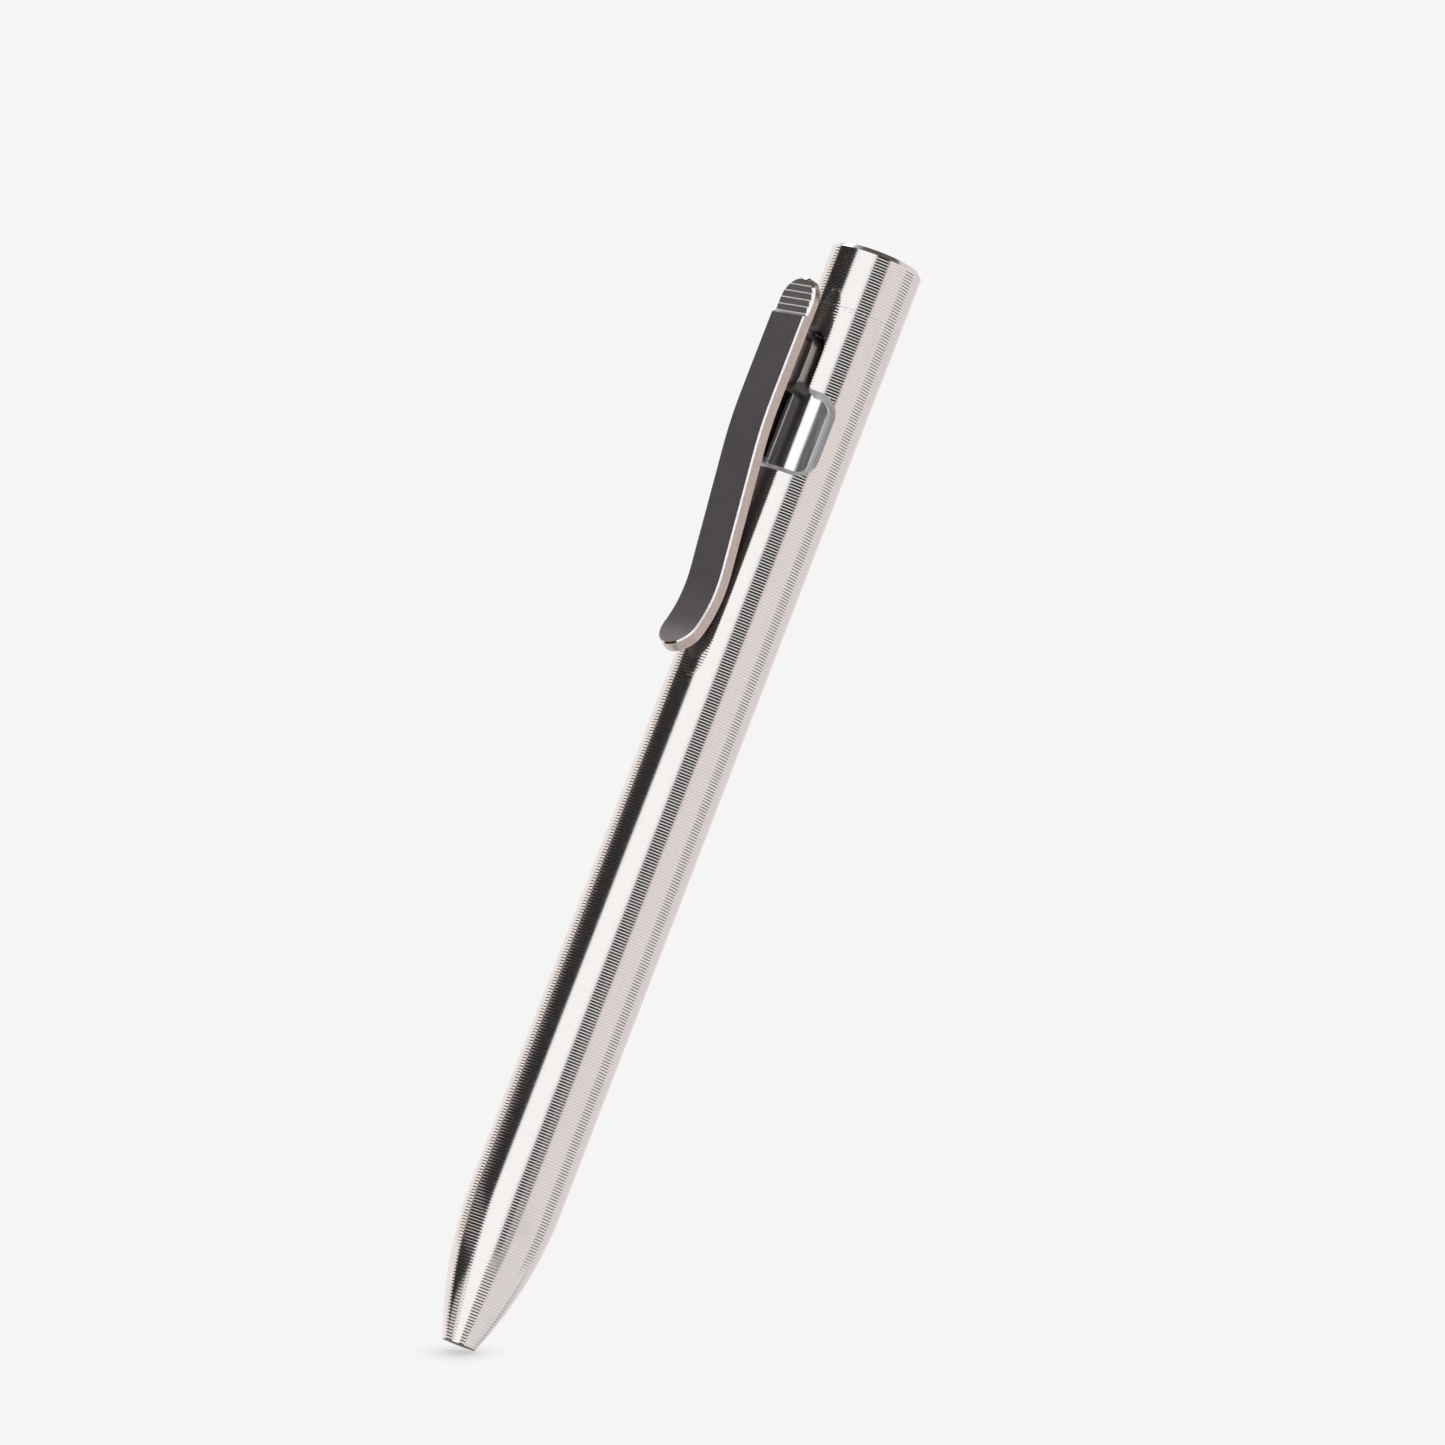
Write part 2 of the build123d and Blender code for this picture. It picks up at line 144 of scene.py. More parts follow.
turned_steel = finish_of(
    "turned_steel", (0.72, 0.70, 0.69), (0.80, 0.78, 0.765), (0.10, 0.17), 0.5, (3, 3, 0.1)
)
cut_steel = finish_of(
    "cut_steel", (0.70, 0.69, 0.68), (0.80, 0.79, 0.78), (0.10, 0.2), 0.15, (1, 1, 4), bump=0.002
)
eased_edge = finish_of(
    "eased_edge", (0.61, 0.605, 0.61), (0.71, 0.70, 0.70), (0.38, 0.44), 0.3, (1, 1, 3),
    contrast=0.4, metal=0.55,
)
# Dark steel that is painted shade, for the mouth's faces and the slot's upper bevel and far wall.
painted_shade_steel = finish_of(
    "painted_shade_steel", (0.09, 0.085, 0.085), (0.15, 0.14, 0.135), (0.3, 0.4), 0.15, bump=0.002
)
bored_steel = finish_of(
    "bored_steel", (0.42, 0.40, 0.38), (0.52, 0.50, 0.48), (0.3, 0.45), 0.3, (3, 3, 0.2), bump=0.004
)


def drawn(name, points):
    """Chain of edges through some points, drawn by extruding a vertex, and left open in edit mode."""
    bpy.ops.object.select_all(action="DESELECT")
    bpy.ops.mesh.primitive_plane_add(size=mm)
    piece = bpy.context.object
    piece.name = piece.data.name = name
    bpy.ops.object.mode_set(mode="EDIT")
    bpy.ops.mesh.select_all(action="SELECT")
    bpy.ops.mesh.merge(type="CENTER")
    bpy.ops.transform.translate(value=points[0])
    for here, there in zip(points, points[1:]):
        move = [end - start for start, end in zip(here, there)]
        bpy.ops.mesh.extrude_vertices_move(TRANSFORM_OT_translate={"value": move})
    bpy.ops.mesh.select_all(action="SELECT")
    return piece


def turned(name, outline, steps=96):
    """Outline of (radius, height) corners, spun about the axis."""
    piece = drawn(name, [(radius, 0, height) for radius, height in outline])
    bpy.ops.mesh.spin(steps=steps, angle=math.tau, center=(0, 0, 0), axis=(0, 0, 1))
    bpy.ops.mesh.select_all(action="SELECT")
    bpy.ops.mesh.remove_doubles(threshold=0.0005 * mm)
    bpy.ops.mesh.normals_make_consistent(inside=False)
    bpy.ops.object.mode_set(mode="OBJECT")
    return piece


def select_only(piece):
    """Leaves one piece selected and active."""
    bpy.ops.object.select_all(action="DESELECT")
    piece.select_set(True)
    bpy.context.view_layer.objects.active = piece


def merged_copy(node, name):
    """Copy of a CAD node, free of its marks, with its loose triangles joined up."""
    piece = nodes[node].copy()
    piece.data = nodes[node].data.copy()
    piece.parent = None
    piece.name = piece.data.name = name
    for key in list(piece.keys()):
        del piece[key]
    bpy.context.scene.collection.objects.link(piece)
    select_only(piece)
    bpy.ops.object.mode_set(mode="EDIT")
    bpy.ops.mesh.select_all(action="SELECT")
    bpy.ops.mesh.remove_doubles(threshold=0.0001 * mm)
    bpy.ops.mesh.normals_make_consistent(inside=False)
    bpy.ops.object.mode_set(mode="OBJECT")
    bpy.ops.mesh.customdata_custom_splitnormals_clear()
    return piece


def dress(piece, *materials):
    """Gives a piece its material slots, in order."""
    piece.data.materials.clear()
    for material in materials:
        piece.data.materials.append(material)


def smooth_below(piece, degrees):
    """Smooth shading across edges that turn less than an angle."""
    select_only(piece)
    bpy.ops.object.shade_smooth_by_angle(angle=math.radians(degrees))


def nose_radius(height):
    """Radius of the nose's arc at a height, and of the plain body above it."""
    drop = skin_radius - nose_end[0]
    rise = nose_length - nose_end[1]
    arc = (drop ** 2 + rise ** 2) / (2 * drop)
    return skin_radius - arc + math.sqrt(arc ** 2 - max(nose_length - height, 0) ** 2)


def vee_grooves(low, high, pitch, depth, radius_at, root_share):
    """Corners of a run of grooves, each steep below its root and easy above, between two heights."""
    count = round((high - low) / pitch)
    step = (high - low) / count
    corners = []
    for turn in range(count):
        ridge = low + turn * step
        root = ridge + root_share * step
        corners += [(radius_at(ridge), ridge), (radius_at(root) - depth, root)]
    return corners + [(radius_at(high), high)]


first_groove = nose_end[1]
spare = 0.5 * mm
lead_in = spare / 9
skin = [(0, -spare), (nose_end[0] + spare, -spare)]
skin += [(nose_radius(first_groove) + lead_in, first_groove - lead_in)]
skin += vee_grooves(first_groove, seam_height, groove_pitch, groove_depth, nose_radius, groove_root_share)
thread = vee_grooves(
    seam_height + spare, stub_top - spare / 2, thread_pitch, thread_depth, lambda height: stub_radius, 0.5
)
skin += thread + [(stub_radius - thread_depth, stub_top + spare), (0, stub_top + spare)]
lathe_work = turned("barrel_skin", skin)
barrel_finishes = (turned_steel, eased_edge, bored_steel, painted_shade_steel)
edge_slot, bore_slot, painted_shade_slot = 1, 2, 3
dress(lathe_work, *barrel_finishes)

# The copy keeps the bores, the slot and its bevel. Its outer wall is grown past the lathe's skin
# before the two are cut together, because its flat facets would else cut into the ridges.
skin_allowance = 0.12 * mm
skin_growth = 1.02
bevel_lean = (0.3, 0.95)
barrel = merged_copy("barrel", "barrel_turned")
dress(barrel, *barrel_finishes)
# The mouth's faces, the slot's upper bevel and its far wall take the dark steel: painted shade.
for face in barrel.data.polygons:
    radius = math.hypot(face.center.x, face.center.y)
    outwards = (face.center.x * face.normal.x + face.center.y * face.normal.y) / max(radius, mm)
    upper_bevel_shade = face.center.z > window_top + mm and bevel_lean[0] < outwards < bevel_lean[1]
    far_wall_shade = face.center.x < -mm and abs(face.normal.z) < 0.5
    if face.center.z < first_groove:
        face.material_index = painted_shade_slot
    elif radius <= bored_radius:
        face.material_index = bore_slot
    else:
        face.material_index = painted_shade_slot if upper_bevel_shade or far_wall_shade else edge_slot
bpy.ops.object.mode_set(mode="EDIT")
bpy.ops.mesh.select_all(action="DESELECT")
bpy.ops.object.mode_set(mode="OBJECT")
for corner in barrel.data.vertices:
    if first_groove / 2 < corner.co.z < seam_height - first_groove / 2:
        corner.select = math.hypot(corner.co.x, corner.co.y) > nose_radius(corner.co.z) - skin_allowance
bpy.ops.object.mode_set(mode="EDIT")
bpy.ops.transform.resize(value=(skin_growth, skin_growth, 1), center_override=(0, 0, 0))
bpy.ops.object.mode_set(mode="OBJECT")
cut = barrel.modifiers.new("turned_skin", "BOOLEAN")
cut.operation = "INTERSECT"
cut.solver = "MANIFOLD"
cut.object = lathe_work
bpy.ops.object.modifier_apply(modifier=cut.name)
bpy.data.objects.remove(lathe_work)
groove_smoothing = 12
smooth_below(barrel, groove_smoothing)
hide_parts("barrel")
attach(barrel, "barrel")


# Tail cap. A cup turned from the same bar with the same grooves, screwed over the barrel's stub.
# Its rim is a smooth polished chamfer and its crown is faced flat.
pen_length = 140.0 * mm
cap_inner_top = 138.6 * mm
rim_chamfer = 0.6 * mm
skirt_radius = 4.98 * mm
thread_clearance = 0.2 * mm
bored_band = 0.3 * mm
hairline = 0.012 * mm
cap_outline = [(0, cap_inner_top), (skirt_radius, cap_inner_top)]
cap_outline += [(radius + thread_clearance, height) for radius, height in reversed(thread)]
cap_outline += [(skirt_radius, seam_height + hairline)]
cap_span = (seam_height + hairline, pen_length - rim_chamfer)
cap_outline += vee_grooves(*cap_span, groove_pitch, groove_depth, nose_radius, groove_root_share)
cap_outline += [(skin_radius - rim_chamfer, pen_length), (0, pen_length)]
cap = turned("tail_cap_turned", cap_outline)
cap_finishes = (turned_steel, cut_steel, bored_steel, eased_edge)
chamfer_slot, bore_slot, crown_slot = 1, 2, 3
dress(cap, *cap_finishes)
for face in cap.data.polygons:
    radius = math.hypot(face.center.x, face.center.y)
    if face.center.z > pen_length - rim_chamfer:
        face.material_index = crown_slot if face.normal.z > 0.9 else chamfer_slot
    elif radius < skirt_radius + bored_band:
        face.material_index = bore_slot
smooth_below(cap, groove_smoothing)
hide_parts("tail_cap")
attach(cap, "tail_cap")


# Clip. A flat steel bar, milled round its outline, bent to shape and tumbled dark. The chamfer
# round its face is left bright, its sides show the mill's long marks, five steps are cut across
# the thumb pad, and a boss behind it is drilled for the two screws. The steps' faces are pale,
# a painted highlight, and the back is very dark, a painted shade.
clip_top = 133.75 * mm
clip_outer = 10.1 * mm
clip_inner = 8.6 * mm
clip_width = 6.15 * mm
# Runs of the clip from its top: length, and degrees that it bends.
clip_runs = ((15.523 * mm, 0), (6.981 * mm, 8), (14.785 * mm, 0), (8.936 * mm, -32), (1.6 * mm, 0))
bend_step = 1.6
clip_chamfer = 0.18 * mm
pad_chamfer = 0.36 * mm
pad_end = clip_top - 5.0 * mm
pad_step = 0.3 * mm
tooth_pitch = 0.87 * mm
tooth_rise = 0.17 * mm
tooth_depth = 0.11 * mm
tooth_count = 5
comb_bite = 0.01 * mm
boss_width = 2.2 * mm
boss_span = (121.0 * mm, 127.4 * mm)
post_ledge = 6.35 * mm
screw_heights = (122.1 * mm, 126.3 * mm)
screw_hole_radius = 0.62 * mm
screw_hole_end = 9.7 * mm
tumbled_face = finish_of(
    "tumbled_face", (0.17, 0.163, 0.178), (0.30, 0.288, 0.312), (0.36, 0.46), 0.07,
    contrast=0.25, bump=0.006,
)
bright_rim = finish_of(
    "bright_rim", (0.66, 0.64, 0.62), (0.88, 0.86, 0.84), (0.05, 0.1), 0.15, (1, 1, 3), contrast=0.15
)
milled_side = finish_of(
    "milled_side", (0.44, 0.375, 0.345), (0.58, 0.505, 0.465), (0.18, 0.32), 0.12, (1, 1, 8), bump=0.003
)
# Pale, dull faces for the pad's steps: a painted highlight along each step.
painted_highlight_step = finish_of(
    "painted_highlight_step", (0.56, 0.54, 0.54), (0.82, 0.79, 0.79), (0.38, 0.5), 0.08, bump=0.004, metal=0.2
)
# Very dark finish for the clip's back and the post's ends: painted shade.
painted_shade_back = finish_of(
    "painted_shade_back", (0.10, 0.09, 0.09), (0.16, 0.145, 0.145), (0.42, 0.52), 0.07, contrast=0.25, bump=0.006
)
rubbed_pad = finish_of(
    "rubbed_pad", (0.26, 0.248, 0.255), (0.44, 0.422, 0.430), (0.36, 0.46), 0.07, contrast=0.25, bump=0.006
)
clip_finishes = (tumbled_face, bright_rim, milled_side, painted_highlight_step, painted_shade_back, rubbed_pad)
face_slot, rim_slot, side_slot, highlight_step_slot, back_shade_slot, pad_slot = range(len(clip_finishes))


def round_ended(width, low, high, out):
    """Outline of a round-ended bar at a distance out on the clip's side."""
    radius = width / 2
    steps = 32
    points = []
    for centre, start in ((high - radius, 0), (low + radius, 180)):
        for step in range(steps + 1):
            angle = math.radians(start + step * 180 / steps)
            points.append((radius * math.cos(angle), -out, centre + radius * math.sin(angle)))
    return points


def slab(name, points, depth):
    """Closed outline filled and extruded by a depth."""
    piece = drawn(name, points + points[:1])
    bpy.ops.mesh.remove_doubles(threshold=0.0005 * mm)
    bpy.ops.mesh.edge_face_add()
    bpy.ops.mesh.extrude_region_move(TRANSFORM_OT_translate={"value": depth})
    bpy.ops.mesh.select_all(action="SELECT")
    bpy.ops.mesh.normals_make_consistent(inside=False)
    bpy.ops.object.mode_set(mode="OBJECT")
    return piece


def cut_across(piece, place, normal):
    """Edges where a plane crosses a piece."""
    select_only(piece)
    bpy.ops.object.mode_set(mode="EDIT")
    bpy.ops.mesh.select_all(action="SELECT")
    bpy.ops.mesh.bisect(plane_co=place, plane_no=normal)
    bpy.ops.object.mode_set(mode="OBJECT")


def bevel_where(piece, wanted, width, material, span=(-1, 1)):
    """Bevel of the edges in a span of heights whose two faces answer to a test on their normals."""
    sides = {}
    for face in piece.data.polygons:
        for key in face.edge_keys:
            sides.setdefault(key, []).append(face.normal.copy())
    bpy.ops.object.mode_set(mode="EDIT")
    bpy.ops.mesh.select_mode(type="EDGE")
    bpy.ops.mesh.select_all(action="DESELECT")
    bpy.ops.object.mode_set(mode="OBJECT")
    for edge in piece.data.edges:
        middle = sum(piece.data.vertices[corner].co.z for corner in edge.vertices) / 2
        edge.select = span[0] < middle < span[1] and wanted(*sides[edge.key])
    bpy.ops.object.mode_set(mode="EDIT")
    bpy.ops.mesh.bevel(offset=width, segments=1, affect="EDGES", clamp_overlap=False, material=material)
    bpy.ops.mesh.select_mode(type="VERT")
    bpy.ops.object.mode_set(mode="OBJECT")


def joined_with(piece, tool, operation):
    """One solid worked with another, which is used up."""
    work = piece.modifiers.new("work", "BOOLEAN")
    work.operation = operation
    work.solver = "EXACT"
    work.object = tool
    bpy.context.view_layer.objects.active = piece
    bpy.ops.object.modifier_apply(modifier=work.name)
    bpy.data.objects.remove(tool)


def clip_path(along):
    """Distance out, height and lean of the clip's face at a length along it from its top."""
    out, height, lean = clip_outer, clip_top, 0.0
    for length, turn in clip_runs:
        run = min(max(along, 0), length)
        along -= length
        if turn:
            radius = length / math.radians(turn)
            after = lean + run / radius
            out -= radius * (math.cos(lean) - math.cos(after))
            height -= radius * (math.sin(after) - math.sin(lean))
            lean = after
        else:
            out -= run * math.sin(lean)
            height -= run * math.cos(lean)
    return out, height, lean


clip_length = sum(length for length, turn in clip_runs)
clip_outline = round_ended(clip_width, clip_top - clip_length, clip_top, clip_outer)
clip = slab("clip_bar", clip_outline, (0, clip_outer - clip_inner, 0))
dress(clip, *clip_finishes)
for height in (pad_end, pad_end + pad_step):
    cut_across(clip, (0, 0, height), (0, 0, 1))
for corner in clip.data.vertices:
    if corner.co.z > pad_end + pad_step / 2 and corner.co.y < -(clip_outer + clip_inner) / 2:
        corner.co.y += pad_step
clip.data.update()
# The sides take the milled finish, the face the tumbled one and the back a painted shade.
for face in clip.data.polygons:
    if abs(face.normal.y) < 0.5:
        face.material_index = side_slot
    else:
        face.material_index = back_shade_slot if face.normal.y > 0 else face_slot


def on_front(one, other):
    """Rim between the clip's face and its sides."""
    return min(one.y, other.y) < -0.6 and max(one.y, other.y) > -0.3


def on_back(one, other):
    """Rim between the clip's back and its sides."""
    return max(one.y, other.y) > 0.9 and min(one.y, other.y) < 0.3


bevel_where(clip, on_front, pad_chamfer, rim_slot, (pad_end + pad_step, 1))
bevel_where(clip, on_front, clip_chamfer, rim_slot, (-1, pad_end + pad_step))
bevel_where(clip, on_back, clip_chamfer / 3, side_slot)

pad_face = clip_outer - pad_step - comb_bite
comb = [(pad_face, pad_end + pad_step)]
for count in range(tooth_count):
    foot = pad_end + pad_step + count * tooth_pitch
    comb += [(pad_face - tooth_depth, foot + tooth_rise), (pad_face, foot + tooth_pitch)]
comb += [(pad_face, clip_top + pad_step), (clip_outer + pad_step, clip_top + pad_step)]
comb += [(clip_outer + pad_step, pad_end + pad_step)]
comb_tool = slab("comb", [(-clip_width, -out, height) for out, height in comb], (2 * clip_width, 0, 0))
dress(comb_tool, *clip_finishes)
for face in comb_tool.data.polygons:
    # The steps' faces take the pale finish, a painted highlight.
    is_step = abs(face.normal.x) < 0.5 and abs(face.normal.z) > 0.3
    face.material_index = highlight_step_slot if is_step else pad_slot
joined_with(clip, comb_tool, "DIFFERENCE")

boss_outline = round_ended(boss_width, *boss_span, post_ledge)
boss = slab("boss", boss_outline, (0, post_ledge - clip_inner - clip_chamfer, 0))
dress(boss, *clip_finishes)
joined_with(clip, boss, "UNION")
for height in screw_heights:
    bpy.ops.object.select_all(action="DESELECT")
    bpy.ops.mesh.primitive_cylinder_add(
        vertices=32,
        radius=screw_hole_radius,
        depth=screw_hole_end - post_ledge + mm,
        location=(0, -(screw_hole_end + post_ledge - mm) / 2, height),
        rotation=(math.pi / 2, 0, 0),
    )
    drill = bpy.context.object
    dress(drill, *clip_finishes)
    joined_with(clip, drill, "DIFFERENCE")

along = 0
for length, turn in clip_runs:
    cuts = round(abs(turn) / bend_step) if turn else 1
    for count in range(cuts):
        if along:
            cut_across(clip, (0, 0, clip_top - along), (0, 0, 1))
        along += length / cuts
for corner in clip.data.vertices:
    out, height, lean = clip_path(clip_top - corner.co.z)
    depth = clip_outer + corner.co.y
    corner.co.y = depth * math.cos(lean) - out
    corner.co.z = height + depth * math.sin(lean)
clip.data.update()
bend_smoothing = 22
smooth_below(clip, bend_smoothing)
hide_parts("clip")
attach(clip, "clip_and_slider")


# Post and screws. The key between clip and slider is milled from brown-grey steel bar with a thin
# bright edge, and two plain socket screws hold the clip to it from inside.
milled_post = finish_of(
    "milled_post", (0.27, 0.24, 0.225), (0.44, 0.39, 0.37), (0.25, 0.38), 0.12, (1, 1, 6), bump=0.004
)
post_edge = finish_of(
    "post_edge", (0.26, 0.225, 0.205), (0.38, 0.335, 0.31), (0.2, 0.3), 0.12, (1, 1, 6), bump=0.003
)
screw_steel = finish_of("screw_steel", (0.30, 0.30, 0.31), (0.42, 0.42, 0.43), (0.3, 0.42), 0.1, bump=0.003)
post = merged_copy("clip_post", "clip_post_milled")
post_finishes = (milled_post, post_edge, painted_shade_back)
side_slot, edge_slot, end_shade_slot = range(len(post_finishes))
dress(post, *post_finishes)
# The post's ends take the clip's very dark back finish, a painted shade.
for face in post.data.polygons:
    if abs(face.normal.z) > 0.3:
        face.material_index = end_shade_slot
    else:
        face.material_index = edge_slot if -0.9 < face.normal.y < -0.5 else side_slot
smooth_below(post, bend_smoothing)
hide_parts("clip_post")
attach(post, "clip_and_slider")
dress(nodes["clip_screws"], screw_steel)
dress(nodes["lock_screw"], screw_steel)


# Slider. A ground and polished sleeve that shows through the slot, on two slippery white rings.
polished_steel = finish_of(
    "polished_steel", (0.80, 0.81, 0.84), (0.87, 0.88, 0.91), (0.13, 0.18), 0.4, (0.4, 0.4, 9)
)
ring_plastic = finish_of(
    "ring_plastic", (0.80, 0.80, 0.77), (0.88, 0.88, 0.86), (0.45, 0.6), 0.3, bump=0.004, metal=0
)
dress(nodes["slider"], polished_steel)
dress(nodes["slider_ring_front"], ring_plastic)
dress(nodes["slider_ring_rear"], ring_plastic)


# Refill. A drawn steel cartridge crimped on a turned brass front, with a steel point and a hard
# ball, filled with black paste behind a clear grease plug.
drawn_steel = finish_of("drawn_steel", (0.60, 0.60, 0.59), (0.72, 0.72, 0.71), (0.2, 0.32), 0.3, (1, 1, 12))
turned_brass = finish_of(
    "turned_brass", (0.62, 0.49, 0.27), (0.76, 0.64, 0.40), (0.16, 0.3), 0.3, (3, 3, 0.2)
)
point_steel = finish_of(
    "point_steel", (0.62, 0.61, 0.58), (0.74, 0.73, 0.70), (0.15, 0.26), 0.2, (3, 3, 0.2)
)
ball_steel = finish_of("ball_steel", (0.34, 0.34, 0.36), (0.42, 0.42, 0.44), (0.06, 0.12), 0.05)
plug_plastic = finish_of(
    "plug_plastic", (0.12, 0.12, 0.13), (0.17, 0.17, 0.18), (0.4, 0.55), 0.4, bump=0.006, metal=0
)
black_ink = finish_of("black_ink", (0.010, 0.010, 0.016), (0.022, 0.022, 0.032), (0.08, 0.2), 0.8, metal=0)
clear_grease = finish_of(
    "clear_grease", (0.80, 0.78, 0.68), (0.92, 0.90, 0.82), (0.1, 0.25), 0.8, metal=0, clear=0.8
)
clear_tube = finish_of(
    "clear_tube", (0.86, 0.88, 0.90), (0.96, 0.97, 0.98), (0.08, 0.16), 0.8, metal=0, clear=0.9
)
refill_finishes = {
    "refill_casing": drawn_steel,
    "refill_ferrule": turned_brass,
    "refill_point": point_steel,
    "writing_ball": ball_steel,
    "refill_end_plug": plug_plastic,
    "refill_spacer": plug_plastic,
    "ink_column": black_ink,
    "ink_follower": clear_grease,
    "ink_reservoir": clear_tube,
}
for node, finish in refill_finishes.items():
    dress(nodes[node], finish)


# Return spring, seal and bumper. Bright hard-drawn wire wound in twelve turns, which on the pen
# shortens towards its seat in the nose as the clip is pushed; here it is a copy of the CAD node
# that rides on the barrel. Two dark rubber parts sit in the tail.
spring_wire = finish_of("spring_wire", (0.52, 0.52, 0.52), (0.66, 0.66, 0.66), (0.18, 0.3), 0.2)
dark_rubber = finish_of(
    "dark_rubber", (0.035, 0.035, 0.038), (0.07, 0.07, 0.075), (0.7, 0.85), 0.3, bump=0.01, metal=0
)
spring = merged_copy("return_spring", "return_spring_wound")
dress(spring, spring_wire)
wire_smoothing = 50
smooth_below(spring, wire_smoothing)
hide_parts("return_spring")
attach(spring, "barrel")
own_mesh(spring)
dress(nodes["tail_cap_seal"], dark_rubber)
dress(nodes["tail_bumper"], dark_rubber)


# Camera. A long lens from below the pen's middle, rolled so that the pen leans to the right.
azimuth, elevation, roll = (math.radians(angle) for angle in (50.5, -6.8, 21.11))
camera_distance = 960 * mm
aim_height = 80.707 * mm
aim_side = 2.598 * mm
photo_width = 1445
focal_pixels = 8016.8
forward = Vector((math.sin(azimuth), -math.cos(azimuth), 0))
back = forward * math.cos(elevation) + Vector((0, 0, math.sin(elevation)))
level = Vector((math.cos(azimuth), math.sin(azimuth), 0))
upright = back.cross(level)
across = level * math.cos(roll) + upright * math.sin(roll)
upwards = upright * math.cos(roll) - level * math.sin(roll)
bpy.ops.object.camera_add()
camera = bpy.context.object
camera.data.sensor_width = 36
camera.data.lens = focal_pixels / photo_width * camera.data.sensor_width
camera.data.clip_start = 0.01
camera.data.clip_end = 20
camera.matrix_world = Matrix((across, upwards, back)).transposed().to_4x4()
camera.location = Vector((0, 0, aim_height)) + level * aim_side + back * camera_distance
bpy.context.scene.camera = camera


# Studio. White and dark cards stand round the pen, as strips of the world seen in the metal, over
# a plain ground that darkens below. Each card has its span round the pen in degrees from the
# camera, to its right, its span in degrees above level, its strength and its tint.
cards = [
    ("left_glow", (-180, -110), (-60, 9), 1.05, (1, 0.93, 0.90)),
    ("left_edge", (-134, -110), (9, 60), 0.06, (1, 0.80, 0.68)),
    ("left_dark", (-112, -57), (-60, 60), 0.03, (1, 0.94, 0.93)),
    ("left_slit", (-112, -57), (12, 22), 0.62, (1, 0.95, 0.95)),
    ("left_low", (-112, -57), (-88, -33), 0.80, (1, 0.96, 0.95)),
    ("left_upper", (-150, -80), (37, 49), 3.20, (1, 0.91, 0.88)),
    ("left_softbox", (-55, -6.5), (-88, 60), 1.20, (1, 1, 1)),
    ("camera_gap", (-5.5, 29), (-33, 12), 0.03, (1, 0.93, 0.93)),
    ("camera_low", (-5.5, 29), (-88, -33), 0.90, (1, 0.95, 0.95)),
    ("camera_low_right", (11, 29), (-33, -14), 0.30, (1, 0.93, 0.93)),
    ("right_panel", (31, 91), (-88, 88), 0.97, (1, 0.936, 0.935)),
    ("right_warm", (31, 62), (-17, 20), 0.97, (1, 0.935, 0.90)),
    ("right_low", (31, 91), (-88, -17), 0.85, (1, 0.936, 0.94)),
    ("right_upper", (31, 91), (20, 88), 0.82, (1, 0.92, 0.91)),
    ("right_edge", (117, 180), (-88, 60), 0.86, (1, 0.92, 0.92)),
    ("right_edge_low", (117, 180), (-88, -14), 0.56, (1, 0.95, 0.97)),
    ("right_gap", (91, 122), (10, 60), 0.22, (1, 0.86, 0.81)),
    ("overhead", (-200, 200), (61, 100), 0.12, (1, 0.93, 0.90)),
]
card_lean = 0.12
card_side_blur = 1.5
card_end_blur = 2
ground_heights = (-50, -20)
ground_strengths = (0.58, 0.88)
plain_grey = (0.913, 0.913, 0.913, 1)
world = bpy.data.worlds.new("studio")
bpy.context.scene.world = world
world.use_nodes = True
tree, link = world.node_tree.nodes, world.node_tree.links.new


def maths(operation, first, second=None):
    """One maths node of the world, fed by sockets or numbers."""
    node = tree.new("ShaderNodeMath")
    node.operation = operation
    for socket, value in zip(node.inputs, (first, second)):
        if isinstance(value, bpy.types.NodeSocket):
            link(value, socket)
        elif value is not None:
            socket.default_value = value
    return node.outputs["Value"]


def between(angle, low, high, soft):
    """1 inside a span of degrees, 0 outside it, with soft ends."""
    up = tree.new("ShaderNodeMapRange")
    down = tree.new("ShaderNodeMapRange")
    for node, start, end in ((up, low - soft, low + soft), (down, high + soft, high - soft)):
        node.interpolation_type = "SMOOTHSTEP"
        node.inputs["From Min"].default_value = start
        node.inputs["From Max"].default_value = end
        link(angle, node.inputs["Value"])
    return maths("MULTIPLY", up.outputs["Result"], down.outputs["Result"])


way = tree.new("ShaderNodeTexCoord")
turn = tree.new("ShaderNodeVectorRotate")
turn.rotation_type = "Z_AXIS"
turn.inputs["Angle"].default_value = math.pi / 2 - azimuth
parts = tree.new("ShaderNodeSeparateXYZ")
link(way.outputs["Generated"], turn.inputs["Vector"])
link(turn.outputs["Vector"], parts.inputs["Vector"])
round_angle = maths("ARCTAN2", parts.outputs["Y"], parts.outputs["X"])
round_angle = maths("MULTIPLY", round_angle, math.degrees(1))
height_angle = maths("MULTIPLY", maths("ARCSINE", parts.outputs["Z"]), math.degrees(1))
round_angle = maths("ADD", round_angle, maths("MULTIPLY", height_angle, card_lean))
ground = tree.new("ShaderNodeMapRange")
ground.inputs["From Min"].default_value, ground.inputs["From Max"].default_value = ground_heights
ground.inputs["To Min"].default_value, ground.inputs["To Max"].default_value = ground_strengths
link(height_angle, ground.inputs["Value"])
ground_tone = tree.new("ShaderNodeCombineXYZ")
for socket in ground_tone.inputs:
    link(ground.outputs["Result"], socket)
seen = ground_tone.outputs["Vector"]
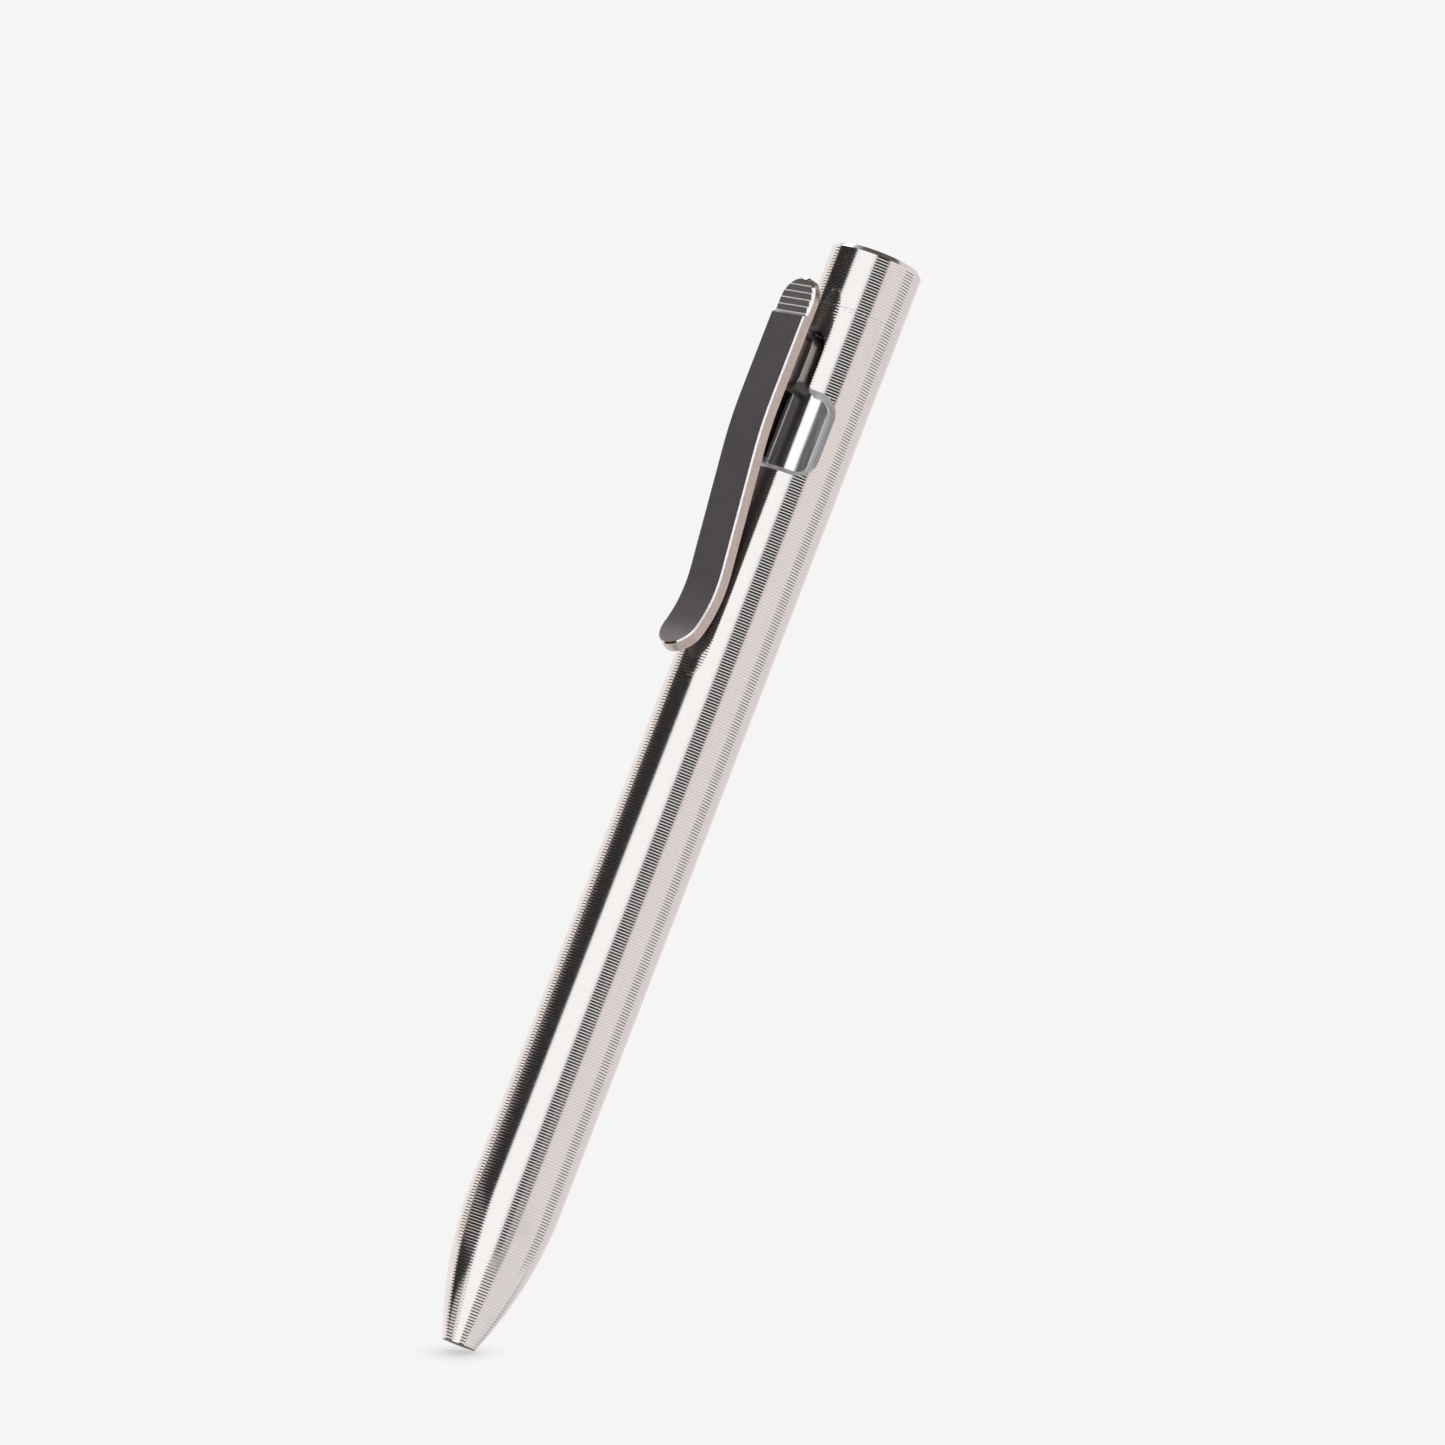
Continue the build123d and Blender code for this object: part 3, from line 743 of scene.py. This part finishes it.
for name, (left, right), (low, high), strength, tint in cards:
    across_card = between(round_angle, left, right, card_side_blur)
    up_card = between(height_angle, low, high, card_end_blur)
    mask = maths("MULTIPLY", across_card, up_card)
    mix = tree.new("ShaderNodeMix")
    mix.data_type = "VECTOR"
    mix.label = name
    mix.inputs[5].default_value = [strength * part for part in tint]
    link(mask, mix.inputs["Factor"])
    link(seen, mix.inputs[4])
    seen = mix.outputs[1]
background = tree["Background"]
link(seen, background.inputs["Color"])
backdrop = tree.new("ShaderNodeBackground")
backdrop.inputs["Color"].default_value = plain_grey
ray = tree.new("ShaderNodeLightPath")
either = tree.new("ShaderNodeMixShader")
straight_through = maths("MAXIMUM", ray.outputs["Is Camera Ray"], ray.outputs["Is Transmission Ray"])
link(straight_through, either.inputs["Fac"])
link(background.outputs["Background"], either.inputs[1])
link(backdrop.outputs["Background"], either.inputs[2])
link(either.outputs["Shader"], tree["World Output"].inputs["Surface"])


# Floor. A pale sheet under the lowest corner of the tip, square to the picture's upright. The
# camera sees it only near the tip and from above, mostly clear, with the pen's real shadow on it
# and a painted shade, since more of the sheet shows nearer the tip.
sheet_tilt = math.radians(8)
sheet_size = 300 * mm
sheet_gap = 0.02 * mm
sheet_fade = (1.5 * mm, 6.5 * mm)
clear_span = (1 * mm, 7 * mm)
clear_share = (0.6, 0.82)
bpy.ops.object.select_all(action="DESELECT")
bpy.ops.mesh.primitive_plane_add(size=sheet_size)
floor = bpy.context.object
floor.name = floor.data.name = "floor"
bpy.ops.object.mode_set(mode="EDIT")
bpy.ops.mesh.subdivide(number_cuts=8)
bpy.ops.object.mode_set(mode="OBJECT")
normal = upwards * math.cos(sheet_tilt) + back * math.sin(sheet_tilt)
floor.rotation_mode = "QUATERNION"
floor.rotation_quaternion = normal.to_track_quat("Z", "Y")
tip_drop = nose_end[0] * math.hypot(normal.x, normal.y)
floor.location = -normal * (tip_drop + sheet_gap)
paper = bpy.data.materials.new("pale_paper")
paper.use_nodes = True
tree, link = paper.node_tree.nodes, paper.node_tree.links.new
shader = tree["Principled BSDF"]
shader.inputs["Roughness"].default_value = 0.9
shader.inputs["Specular IOR Level"].default_value = 0
place = tree.new("ShaderNodeTexCoord")
fibre = tree.new("ShaderNodeTexNoise")
fibre.inputs["Scale"].default_value = 900
tone = tree.new("ShaderNodeMix")
tone.data_type = "RGBA"
tone.inputs[6].default_value = (0.86, 0.86, 0.86, 1)
tone.inputs[7].default_value = (0.90, 0.90, 0.90, 1)
reach = tree.new("ShaderNodeVectorMath")
reach.operation = "LENGTH"
fade = tree.new("ShaderNodeMapRange")
fade.interpolation_type = "SMOOTHSTEP"
fade.inputs["From Min"].default_value, fade.inputs["From Max"].default_value = sheet_fade
fade.inputs["To Min"].default_value = 1
fade.inputs["To Max"].default_value = 0
link(place.outputs["Object"], fibre.inputs["Vector"])
link(fibre.outputs["Fac"], tone.inputs["Factor"])
link(tone.outputs[2], shader.inputs["Base Color"])
link(place.outputs["Object"], reach.inputs[0])
link(reach.outputs["Value"], fade.inputs["Value"])
ray = tree.new("ShaderNodeLightPath")
side = tree.new("ShaderNodeNewGeometry")
front = tree.new("ShaderNodeMath")
front.operation = "SUBTRACT"
front.inputs[0].default_value = 1
link(side.outputs["Backfacing"], front.inputs[1])
shown = tree.new("ShaderNodeMath")
shown.operation = "MULTIPLY"
link(fade.outputs["Result"], shown.inputs[0])
link(front.outputs["Value"], shown.inputs[1])
seen_by_camera = tree.new("ShaderNodeMath")
seen_by_camera.operation = "MULTIPLY"
link(shown.outputs["Value"], seen_by_camera.inputs[0])
link(ray.outputs["Is Camera Ray"], seen_by_camera.inputs[1])
link(seen_by_camera.outputs["Value"], shader.inputs["Alpha"])
clear = tree.new("ShaderNodeBsdfTransparent")
blend = tree.new("ShaderNodeMixShader")
# More of the sheet shows nearer the tip, so there it is greyer than the backdrop even out of the pen's
# shadow: a painted shade on top of the real shadow.
shade = tree.new("ShaderNodeMapRange")
shade.inputs["From Min"].default_value, shade.inputs["From Max"].default_value = clear_span
shade.inputs["To Min"].default_value, shade.inputs["To Max"].default_value = clear_share
link(reach.outputs["Value"], shade.inputs["Value"])
link(shade.outputs["Result"], blend.inputs["Fac"])
link(shader.outputs["BSDF"], blend.inputs[1])
link(clear.outputs["BSDF"], blend.inputs[2])
link(blend.outputs["Shader"], tree["Material Output"].inputs["Surface"])
dress(floor, paper)

bpy.context.scene.view_settings.view_transform = "Standard"
